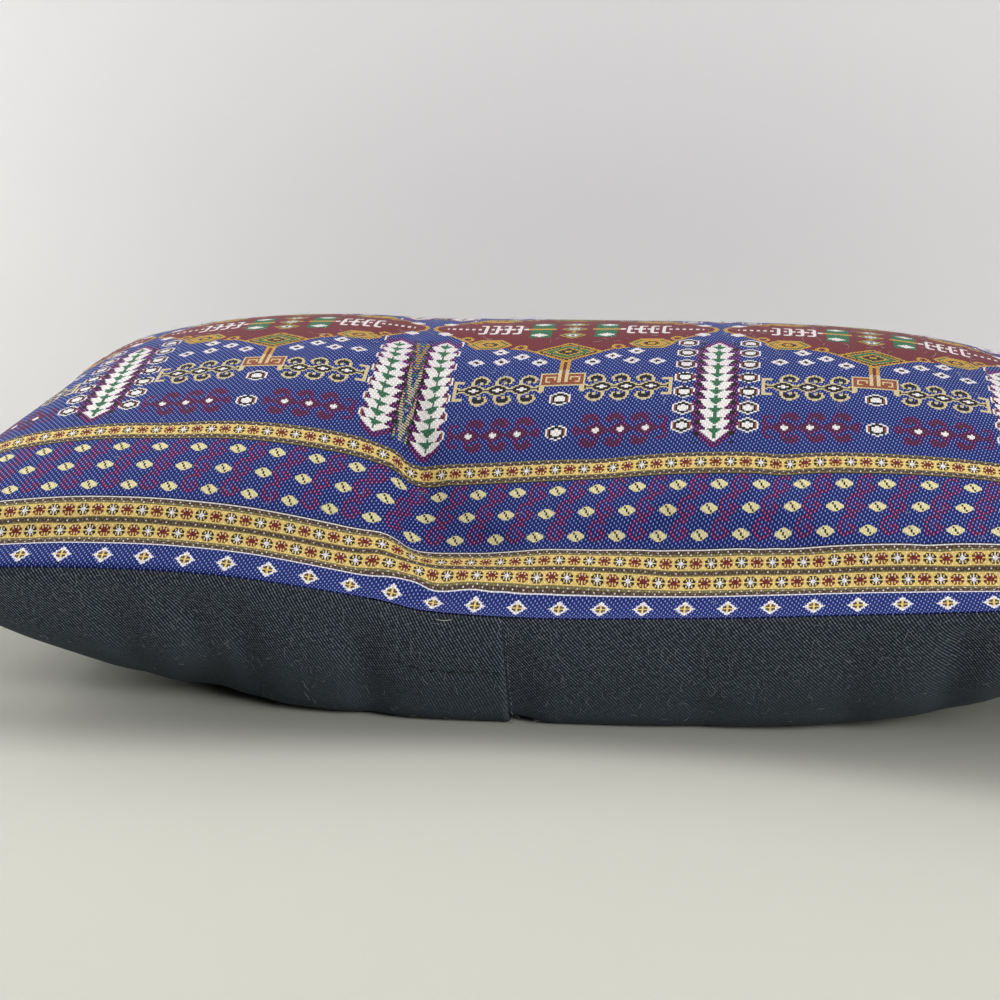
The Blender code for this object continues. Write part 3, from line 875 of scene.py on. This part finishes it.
def strands(name, lines, radii, material):
    """One mesh of thin tubes: each line is a row of points, ringed by four points, thin at its ends."""
    lines = np.asarray(lines)
    count, long = lines.shape[:2]
    run = np.gradient(lines, axis=1)
    run = run / np.linalg.norm(run, axis=2, keepdims=True)
    aside = np.cross(run, (0.36, 0.48, 0.8))
    aside = aside / np.linalg.norm(aside, axis=2, keepdims=True)
    upright = np.cross(run, aside)
    taper = np.sqrt(np.sin(np.linspace(0.12, np.pi - 0.12, long)))[None, :, None]
    size = np.broadcast_to(np.asarray(radii, float), count)[:, None, None] * taper
    ring = np.stack([aside * size, upright * size, -aside * size, -upright * size], axis=2)
    points = (lines[:, :, None] + ring).reshape(-1, 3)
    first = np.arange(count)[:, None, None] * long * 4 + np.arange(long - 1)[None, :, None] * 4
    side = np.arange(4)
    after = (side + 1) % 4
    tube = np.stack([first + side, first + after, first + 4 + after, first + 4 + side], axis=3).reshape(-1, 4)
    start = np.arange(count)[:, None] * long * 4
    ends = np.concatenate([start + side[::-1], start + (long - 1) * 4 + side])
    mesh = bpy.data.meshes.new(name)
    mesh.from_pydata(points.tolist(), [], np.concatenate([tube, ends]).tolist())
    mesh.materials.append(material)
    mesh.shade_smooth()
    piece = bpy.data.objects.new(name, mesh)
    scene.collection.objects.link(piece)
    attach(piece, "root")
    return piece


def on_face(face, u, v):
    """Points of a grid of points at places on the flat cloth, between its lines."""
    i = np.clip(np.searchsorted(along, u) - 1, 0, len(along) - 2)
    j = np.clip(np.searchsorted(across, v) - 1, 0, len(across) - 2)
    s = ((u - along[i]) / (along[i + 1] - along[i]))[..., None]
    t = ((v - across[j]) / (across[j + 1] - across[j]))[..., None]
    near = face[i, j] * (1 - s) + face[i + 1, j] * s
    far = face[i, j + 1] * (1 - s) + face[i + 1, j + 1] * s
    return near * (1 - t) + far * t


def plain(name, colour, roughness):
    """A material of one even colour, for threads and fibres too thin to show a finish, and for paint."""
    made = bpy.data.materials.new(name)
    made.use_nodes = True
    made.node_tree.nodes["Principled BSDF"].inputs["Base Color"].default_value = linear(colour)
    made.node_tree.nodes["Principled BSDF"].inputs["Roughness"].default_value = roughness
    return made


outside = -outward(back_face)
stitch_starts = np.array([-42.5, -38.3, -31.5, -25.5, -19.5, -13.2, -8.6])
stitch_lengths = np.array([2.6, 4.4, 3.2, 4.6, 4.6, 3.2, 2.6])
part = np.linspace(0, 1, 7)
u = (stitch_starts[:, None] + stitch_lengths[:, None] * part) * MM
v = HEM_SEAM_AT + 0.25 * MM * np.sin(u / (6 * MM))
dip = (0.1 - 0.5 * (2 * part - 1) ** 4) * THREAD_RADIUS
stitches = on_face(back_face, u, v) + on_face(outside, u, v) * (dip + 0.1 * MM)[None, :, None]
strands("hem_stitches", stitches, THREAD_RADIUS, plain("black_sewing_thread", "0b0d10", 0.6))
u = np.linspace(-27, -21.2, 9) * MM
v = (0.5 + 0.1 * np.sin(np.linspace(0, 4, 9))) * MM
thread_end = on_face(back_face, u, v) + on_face(outside, u, v) * (0.3 * MM)
strands("thread_end", thread_end[None], 0.16 * MM, plain("undyed_thread_end", "b9b4ae", 0.8))

# Lint: short loose fibres that cling to both cloths, most of them on the crest and on the rubbed lower
# part of the back, and a row of short pale grey fibres along the folded edge of the lap.
rng = np.random.default_rng(7)


def lint(name, face, normals, u, v, long, lift, radius, material):
    """A fibre at each place: a straight lie in a random direction, bowed sideways and off the cloth."""
    t = np.linspace(0, 1, 6)[None, :]
    turn = rng.uniform(0, 2 * np.pi, len(u))[:, None]
    bow = rng.normal(0, 0.28, len(u))[:, None]
    reach = long[:, None] * (t - 0.5)
    bend = long[:, None] * bow * (1 - (2 * t - 1) ** 2)
    at_u = np.clip(u[:, None] + reach * np.cos(turn) - bend * np.sin(turn), along[0] + MM, along[-1] - MM)
    at_v = np.clip(v[:, None] + reach * np.sin(turn) + bend * np.cos(turn), MM, CUT_DEPTH - MM)
    height = radius[:, None] + lift[:, None] * t**1.5
    lines = on_face(face, at_u, at_v) + on_face(normals, at_u, at_v) * height[..., None]
    return strands(name, lines, radius, material)


front_out = outward(front_face)
crest = 420
spread = 260
u = np.concatenate([rng.uniform(-235, 235, crest), rng.uniform(-240, 240, spread)]) * MM
v = np.concatenate([rng.normal(142, 22, crest), rng.uniform(8, 290, spread)]) * MM
count = crest + spread
lint(
    "front_lint",
    front_face,
    front_out,
    u,
    v,
    rng.uniform(1.5, 4.5, count) * MM,
    rng.uniform(0.1, 1.3, count) * MM,
    rng.uniform(0.035, 0.07, count) * MM,
    plain("pale_cotton_fibre", "a7a6ae", 0.9),
)
count = 620
lint(
    "back_lint",
    back_face,
    outside,
    rng.uniform(-235, 240, count) * MM,
    np.abs(rng.normal(10, 9, count)) * MM,
    rng.uniform(0.8, 3.0, count) * MM,
    rng.uniform(0.05, 0.5, count) * MM,
    rng.uniform(0.04, 0.09, count) * MM,
    plain("grey_cotton_fibre", "84888a", 0.9),
)

# A row of short pale grey fibres down the folded edge of the lap
count = 34
lint(
    "lap_edge_pale_fibres",
    back_face,
    outside,
    np.full(count, LAP_EDGE - 0.35 * MM),
    np.linspace(2, 44, count) * MM + rng.normal(0, 0.3, count) * MM,
    rng.uniform(0.4, 0.8, count) * MM,
    np.full(count, 0.05 * MM),
    rng.uniform(0.08, 0.15, count) * MM,
    plain("pale_grey_edge_fibre", "8f959c", 0.9),
)

# The studio: a plain pale table top before a plain wall, a soft lamp overhead and two from each side.
STAGE_HALF = 3
WALL_AT = 0.24
FAR_SIDE = WALL_AT / STAGE_HALF
stage = {
    "table_top": ([(-1, -1, 0), (1, -1, 0), (1, FAR_SIDE, 0), (-1, FAR_SIDE, 0)], "bebeb4"),
    "wall": ([(-1, 0, 0), (1, 0, 0), (1, 0, 1), (-1, 0, 1)], "e6e5e6"),
}
for name, (corners, colour) in stage.items():
    mesh = bpy.data.meshes.new(name)
    mesh.from_pydata([tuple(STAGE_HALF * c for c in corner) for corner in corners], [], [(0, 1, 2, 3)])
    if name == "wall":
        mesh.transform(Matrix.Translation((0, WALL_AT, 0)))
    mesh.materials.append(plain("matt_paint_" + name, colour, 0.9))
    backdrop = bpy.data.objects.new(name, mesh)
    scene.collection.objects.link(backdrop)

world = bpy.data.worlds.new("studio")
scene.world = world
world.use_nodes = True
world.node_tree.nodes["Background"].inputs["Color"].default_value = linear("e6e7ea")
world.node_tree.nodes["Background"].inputs["Strength"].default_value = 0.02
LAMPS = {
    "overhead": ((0.05, 0.03, 1.4), 0.8, 11),
    "left_side": ((-0.95, -0.02, 0.4), 0.4, 5),
    "left_high": ((-1.1, -0.3, 1.0), 0.6, 5),
    "right_front": ((0.9, -0.9, 0.9), 0.6, 8),
    "right_low": ((1.1, -0.5, 0.35), 0.5, 4.4),
}
for name, (at, wide, watts) in LAMPS.items():
    lamp = bpy.data.objects.new(name, bpy.data.lights.new(name, "AREA"))
    lamp.data.size = wide
    lamp.data.energy = watts
    lamp.location = at
    lamp.rotation_euler = (Vector((0, 0, 0.05)) - Vector(at)).to_track_quat("-Z", "Y").to_euler()
    scene.collection.objects.link(lamp)
scene.view_settings.view_transform = "Standard"
